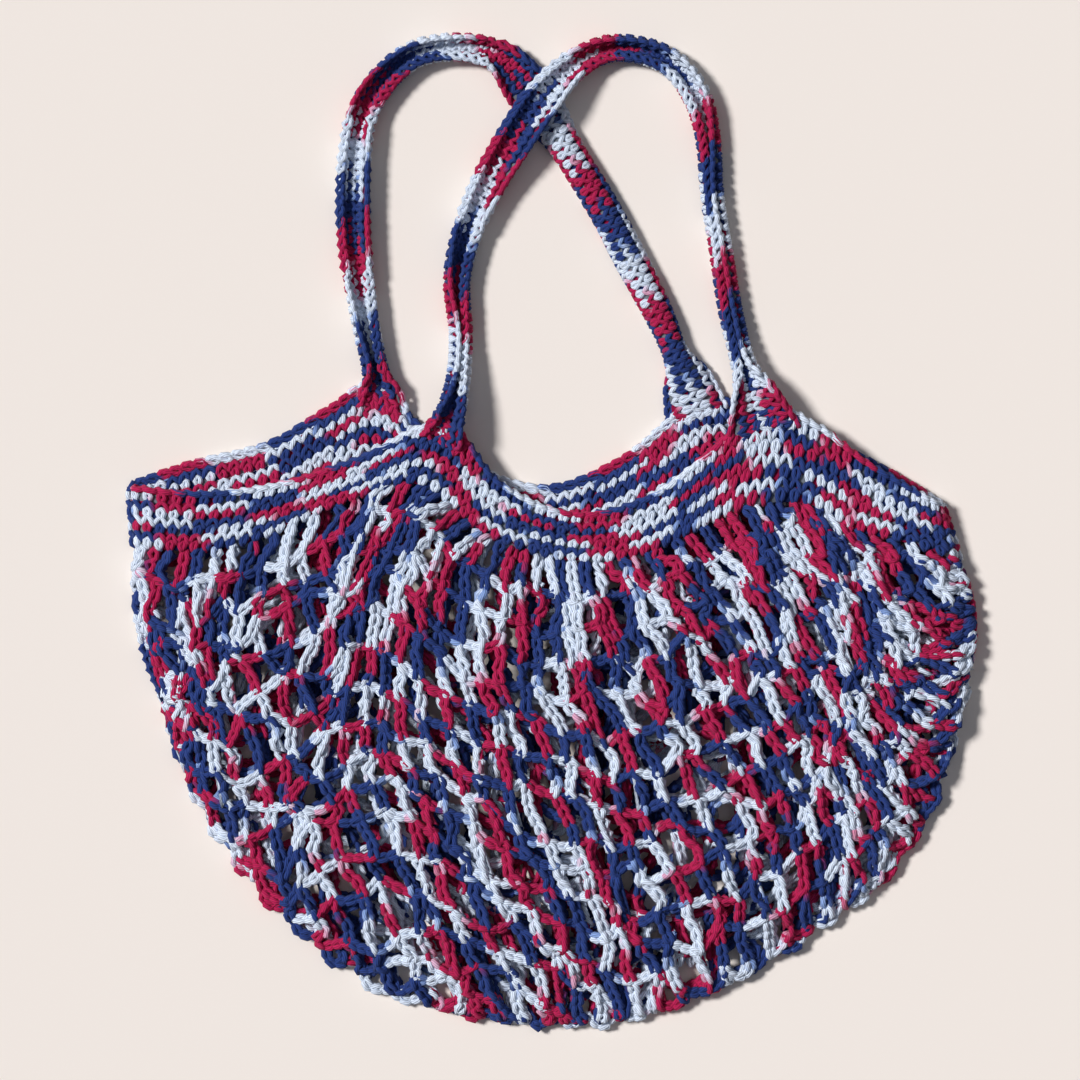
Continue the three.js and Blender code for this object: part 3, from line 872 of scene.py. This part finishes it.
ground = {
    "fleckScale": 170,
    # How far the white and the other dyes are darkened, as painted shade.
    "whiteShadeShare": 0.2,
    "colourShadeShare": 0.45,
    "navyFrom": 0.25,
    "crimsonFrom": 0.7,
    "roughness": 0.95,
    "specular": 0.1,
    "fibreScale": 900,
    "relief": 0.0005,
    "leastHeight": 0.1,
}


def mathNode(tree, operation, *values):
    node = tree.nodes.new("ShaderNodeMath")
    node.operation = operation
    for slot, value in enumerate(values):
        if isinstance(value, (int, float)):
            node.inputs[slot].default_value = value
        else:
            tree.links.new(value, node.inputs[slot])
    return node.outputs[0]


def startFinish(name):
    material = bpy.data.materials.new(name)
    material.use_nodes = True
    return material, material.node_tree, material.node_tree.nodes["Principled BSDF"]


def addRelief(tree, height, depth):
    bump = tree.nodes.new("ShaderNodeBump")
    bump.inputs["Distance"].default_value = depth
    bump.inputs["Strength"].default_value = 1.0
    tree.links.new(height, bump.inputs["Height"])
    tree.links.new(bump.outputs["Normal"], tree.nodes["Principled BSDF"].inputs["Normal"])


def addNoise(tree, spot, scale, detail=2):
    noise = tree.nodes.new("ShaderNodeTexNoise")
    noise.inputs["Scale"].default_value = scale
    noise.inputs["Detail"].default_value = detail
    tree.links.new(spot.outputs["Object"], noise.inputs["Vector"])
    return noise.outputs["Fac"]


# Gives the dyed colour, with painted shade in the ply grooves, and the height of the plies from the yarn's
# own length and section.
def makeYarnGroup():
    tree = bpy.data.node_groups.new("pliedYarn", "ShaderNodeTree")
    for label, value in yarnKinds["band"].items():
        if label != "relief":
            socket = tree.interface.new_socket(label, in_out="INPUT", socket_type="NodeSocketFloat")
            socket.default_value = value
    for label, kind in (("Color", "NodeSocketColor"), ("Height", "NodeSocketFloat"),
                        ("Roughness", "NodeSocketFloat")):
        tree.interface.new_socket(label, in_out="OUTPUT", socket_type=kind)
    add, link = tree.nodes.new, tree.links.new
    given, result = add("NodeGroupInput"), add("NodeGroupOutput")
    run, ring = add("ShaderNodeAttribute"), add("ShaderNodeAttribute")
    run.attribute_name, ring.attribute_name = "yarnRun", "ring"
    split = add("ShaderNodeSeparateXYZ")
    link(ring.outputs["Vector"], split.inputs[0])
    spot = add("ShaderNodeTexCoord")

    # The colour, by the length of yarn.
    wave = addNoise(tree, spot, ply["waveScale"], 1)
    shifted = mathNode(tree, "MULTIPLY_ADD", wave, ply["waveShift"], run.outputs["Fac"])
    place = mathNode(tree, "FRACT", mathNode(tree, "DIVIDE", shifted, given.outputs["Cycle"]))
    ramp = add("ShaderNodeValToRGB")
    stops = ramp.color_ramp.elements
    stops[0].position, stops[0].color = 0.0, dye["white"]
    stops[1].position, stops[1].color = 1.0, dye["white"]
    for shade, start, end in dyeOrder:
        for position in (start, end):
            if 0 < position < 1:
                stop = stops.new(position)
                stop.color = dye[shade]
    link(place, ramp.inputs["Fac"])

    # The plies, laid at a slant: the phase grows along the yarn and round it.
    turn = mathNode(tree, "ARCTAN2", split.outputs["Y"], split.outputs["X"])
    laid = mathNode(tree, "DIVIDE", run.outputs["Fac"], given.outputs["Turn"])
    phase = mathNode(tree, "ADD", mathNode(tree, "MULTIPLY", laid, 2 * math.pi), turn)
    ridge = mathNode(tree, "SINE", mathNode(tree, "MULTIPLY", phase, ply["halfTurns"]))
    rounded = mathNode(tree, "POWER", mathNode(tree, "ABSOLUTE", ridge), ply["roundness"])
    fibre = addNoise(tree, spot, ply["fibreScale"])
    height = mathNode(tree, "ADD", rounded, mathNode(tree, "MULTIPLY", fibre, ply["fibreRise"]))

    # The tone: painted shade in the grooves between the plies, with faint blotches.
    grooveShade = mathNode(tree, "MULTIPLY", mathNode(tree, "SUBTRACT", 1.0, rounded), given.outputs["GrooveShade"])
    blotch = addNoise(tree, spot, ply["blotchScale"])
    patch = mathNode(tree, "MULTIPLY_ADD", blotch, ply["blotchLift"], ply["blotchLeast"])
    grooveShadeAndBlotch = mathNode(tree, "MULTIPLY", mathNode(tree, "SUBTRACT", 1.0, grooveShade), patch)
    grey = add("ShaderNodeCombineColor")
    for channel in ("Red", "Green", "Blue"):
        link(grooveShadeAndBlotch, grey.inputs[channel])
    shade = add("ShaderNodeMix")
    shade.data_type = "RGBA"
    shade.blend_type = "MULTIPLY"
    shade.inputs["Factor"].default_value = 1
    link(ramp.outputs["Color"], shade.inputs[6])
    link(grey.outputs[0], shade.inputs[7])
    link(shade.outputs[2], result.inputs["Color"])
    link(height, result.inputs["Height"])
    rough = mathNode(tree, "MULTIPLY_ADD", fibre, ply["roughSpread"], ply["roughness"])
    link(rough, result.inputs["Roughness"])
    return tree


def yarnFinish(kind):
    material, tree, shader = startFinish(kind + "Yarn")
    yarn = tree.nodes.new("ShaderNodeGroup")
    yarn.node_tree = yarnGroup
    # The dye cycle, the ply turn and how dark the painted shade in the ply grooves is, for this kind of
    # yarn.
    for label in ("Cycle", "Turn", "GrooveShade"):
        yarn.inputs[label].default_value = yarnKinds[kind][label]
    tree.links.new(yarn.outputs["Color"], shader.inputs["Base Color"])
    tree.links.new(yarn.outputs["Roughness"], shader.inputs["Roughness"])
    addRelief(tree, yarn.outputs["Height"], yarnKinds[kind]["relief"])
    shader.inputs["Specular IOR Level"].default_value = ply["specular"]
    shader.inputs["Sheen Weight"].default_value = ply["sheen"]
    shader.inputs["Sheen Roughness"].default_value = ply["sheenRoughness"]
    return material


# The ground between the stitches: the same dyes in small flecks, darkened as painted shade of the yarn deep
# in the stitches.
def paintedShadeGroundFinish():
    material, tree, shader = startFinish("stitchGroundPaintedShade")
    spot = tree.nodes.new("ShaderNodeTexCoord")
    fleck = tree.nodes.new("ShaderNodeTexVoronoi")
    fleck.inputs["Scale"].default_value = ground["fleckScale"]
    tree.links.new(spot.outputs["Object"], fleck.inputs["Vector"])
    split = tree.nodes.new("ShaderNodeSeparateColor")
    tree.links.new(fleck.outputs["Color"], split.inputs[0])
    ramp = tree.nodes.new("ShaderNodeValToRGB")
    ramp.color_ramp.interpolation = "CONSTANT"
    stops = ramp.color_ramp.elements
    # Darkened copies of the dyes, as painted shade.
    stops[0].color = [channel * ground["whiteShadeShare"] for channel in dye["white"][:3]] + [1]
    stops[1].position = ground["navyFrom"]
    stops[1].color = [channel * ground["colourShadeShare"] for channel in dye["navy"][:3]] + [1]
    late = stops.new(ground["crimsonFrom"])
    late.color = [channel * ground["colourShadeShare"] for channel in dye["crimson"][:3]] + [1]
    tree.links.new(split.outputs[0], ramp.inputs["Fac"])
    tree.links.new(ramp.outputs["Color"], shader.inputs["Base Color"])
    shader.inputs["Roughness"].default_value = ground["roughness"]
    shader.inputs["Specular IOR Level"].default_value = ground["specular"]
    addRelief(tree, addNoise(tree, spot, ground["fibreScale"]), ground["relief"])
    return material


yarnTree, yarnInputs = makeYarnTree()
yarnGroup = makeYarnGroup()
netFinish, bandFinish, strapFinish = [yarnFinish(kind) for kind in ("net", "band", "strap")]
shadedBetweenFinish = paintedShadeGroundFinish()
print("finishes made")

netPieces = {}
for layer in ("front", "fold", "back"):
    rows, cells = makeNetYarns(layer)
    for part, first, last in net[layer]["parts"]:
        name = net[layer]["name"] + part
        yarns = [path for row in rows[first:last] for path in row]
        netPieces[name] = sweepYarn(name, yarns, net["yarn"], net[layer]["sides"], netFinish)
netPieces["netEdge"] = sweepYarn("netEdge", makeRimYarn(), net["yarn"], rim["sides"], netFinish)

ringGrid = bandGrid()
bandRows = closeRows(ringGrid, band["rows"], band["stitches"], band["spread"], True, band["skipEdge"])
bandEdge = edgeChain(
    ringGrid, band["edgeLevel"], band["stitches"], band["edgeSpread"], True, band["edgeTilt"])
bandPiece = sweepYarn("bandStitches", bandRows, band["yarn"], band["sides"], bandFinish, band["spin"])
bandEdgePiece = sweepYarn(
    "bandEdge", [bandEdge], band["edgeYarn"], band["sides"], bandFinish, band["edgeSpin"])


# The dense middle of the close stitches, as a thin closed sheet along the grid, in darkened dyes as painted
# shade.
def makeGround(name, grid, ring, sizes):
    points, out = grid
    levels, count = points.shape[:2]
    thick = sizes["groundThick"]
    rows = np.linspace(sizes["groundFrom"], sizes["groundTo"], levels) * (levels - 1)
    low = np.clip(np.floor(rows).astype(int), 0, levels - 2)
    part = (rows - low)[:, None, None]
    middle = points[low] * (1 - part) + points[low + 1] * part
    normal = unit(out[low] * (1 - part) + out[low + 1] * part)
    shell = np.concatenate([middle + normal * thick / 2, middle - normal * thick / 2])
    shell[..., 2] = np.maximum(shell[..., 2], ground["leastHeight"])
    turns = count if ring else count - 1
    faces = []
    for level in range(2 * levels):
        after = (level + 1) % (2 * levels)
        # Up the outer side, then back down the inner side.
        here = level if level < levels else 3 * levels - 1 - level
        there = after if after < levels else 3 * levels - 1 - after
        for step in range(turns):
            ahead = (step + 1) % count
            faces.append((here * count + step, here * count + ahead, there * count + ahead,
                          there * count + step))
    if not ring:
        outer = list(range(levels))
        inner = list(range(2 * levels - 1, levels - 1, -1))
        faces.append(tuple(level * count for level in outer + inner))
        faces.append(tuple(level * count + count - 1 for level in inner[::-1] + outer[::-1]))
    mesh = bpy.data.meshes.new(name)
    mesh.from_pydata((shell.reshape(-1, 3) * mm).tolist(), [], faces)
    mesh.polygons.foreach_set("use_smooth", [True] * len(mesh.polygons))
    mesh.materials.append(shadedBetweenFinish)
    mesh.update()
    piece = addObject(name, mesh)
    area = sum(face.area for face in mesh.polygons) / 2
    print(name, "ground", round(area, 4), "square metres")
    return piece


bandGround = makeGround("bandGround", ringGrid, True, band)

strapPieces = {}
strapGrounds = {}
for label, rows in strap["tables"].items():
    grid = strapGrid(rows)
    middle = grid[0][strap["gridAcross"] // 2]
    count = round(lineLength(middle) / strap["stitchPitch"])
    yarns = closeRows(grid, strap["rows"], count, strap["spread"], False, strap["edgeShare"])
    for level in (0.0, 1.0):
        yarns.append(edgeChain(grid, level, count, strap["edgeSpread"], False, strap["edgeTilt"]))
    strapPieces[label] = sweepYarn(label + "Stitches", yarns, strap["yarn"], strap["sides"], strapFinish,
                                   strap["spin"], strap["rowLag"])
    strapGrounds[label] = makeGround(label + "Ground", grid, False, strap)

# Every piece rides the one body and stands for its soft part.
for piece, node, slot in (
    *((piece, "net_body", "net_yarn") for piece in netPieces.values()),
    (bandPiece, "top_band", "band_yarn"),
    (bandEdgePiece, "top_band", "band_yarn"),
    (strapPieces["handleBack"], "handle_back", "handle_yarn"),
    (strapPieces["handleFront"], "handle_front", "handle_yarn"),
    (bandGround, "top_band", "band_yarn"),
    (strapGrounds["handleBack"], "handle_back", "handle_yarn"),
    (strapGrounds["handleFront"], "handle_front", "handle_yarn"),
):
    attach(piece, body)
    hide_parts(node)

print("pieces declared")

studio = {
    "floorColour": (0.90, 0.81, 0.73, 1),
    "backdropColour": (0.84, 0.79, 0.74, 1),
    "floorRoughness": 0.9,
    "floorSize": 8.0,
    "floorHeight": -0.0002,
    "view": 0.540,  # metres across the picture, at the height of the bag's front
    "centre": (-0.00655, -0.0058),
    "distance": 1.9,
    "frontHeight": 0.012,
    "sensor": 36,
    "worldColour": (0.66, 0.75, 1, 1),
    "worldStrength": 0.085,
    "lamps": (
        # name, where it shines from, width in degrees, strength, tint
        ("key", (-1.5, 0.5, 1.75), 12, 3.55, (0.97, 0.98, 1.0)),
        ("top", (0.3, 0.4, 2.0), 70, 0.28, (0.92, 0.95, 1.0)),
    ),
}


def makeFloor():
    half = studio["floorSize"] / 2
    mesh = bpy.data.meshes.new("floor")
    z = studio["floorHeight"]
    corners = [(-half, -half, z), (half, -half, z), (half, half, z), (-half, half, z)]
    mesh.from_pydata(corners, [], [(0, 1, 2, 3)])
    material, _, shader = startFinish("floorPaper")
    shader.inputs["Base Color"].default_value = studio["floorColour"]
    shader.inputs["Roughness"].default_value = studio["floorRoughness"]
    mesh.materials.append(material)
    addObject("floor", mesh)


# A far, soft lamp.
def addLamp(name, source, wide, strength, tint):
    data = bpy.data.lights.new(name, "SUN")
    data.angle = math.radians(wide)
    data.energy = strength
    data.color = tint
    lamp = addObject(name, data)
    lamp.location = source
    lamp.rotation_euler = (math.atan2(math.hypot(source[0], source[1]), source[2]), 0,
                           math.atan2(-source[1], -source[0]) - math.pi / 2)


# The world is dim light, and shows as a pale backdrop.
def makeWorld():
    world = bpy.data.worlds.new("studio")
    world.use_nodes = True
    tree = world.node_tree
    light = tree.nodes["Background"]
    light.inputs["Color"].default_value = studio["worldColour"]
    light.inputs["Strength"].default_value = studio["worldStrength"]
    backdrop = tree.nodes.new("ShaderNodeBackground")
    backdrop.inputs["Color"].default_value = studio["backdropColour"]
    path = tree.nodes.new("ShaderNodeLightPath")
    seen = mathNode(tree, "MAXIMUM", path.outputs["Is Camera Ray"], path.outputs["Is Glossy Ray"])
    seen = mathNode(tree, "MAXIMUM", seen, path.outputs["Is Transmission Ray"])
    mix = tree.nodes.new("ShaderNodeMixShader")
    tree.links.new(seen, mix.inputs[0])
    tree.links.new(light.outputs[0], mix.inputs[1])
    tree.links.new(backdrop.outputs[0], mix.inputs[2])
    tree.links.new(mix.outputs[0], tree.nodes["World Output"].inputs["Surface"])
    return world


def setStudio():
    makeFloor()
    for lamp in studio["lamps"]:
        addLamp(*lamp)
    scene = bpy.context.scene
    scene.world = makeWorld()
    scene.view_settings.view_transform = "Standard"
    data = bpy.data.cameras.new("camera")
    data.sensor_width = studio["sensor"]
    distance = studio["distance"]
    data.lens = studio["sensor"] * (distance - studio["frontHeight"]) / studio["view"]
    camera = addObject("camera", data)
    camera.location = (studio["centre"][0], studio["centre"][1], distance)
    scene.camera = camera


setStudio()
print("studio set")

bpy.context.view_layer.update()
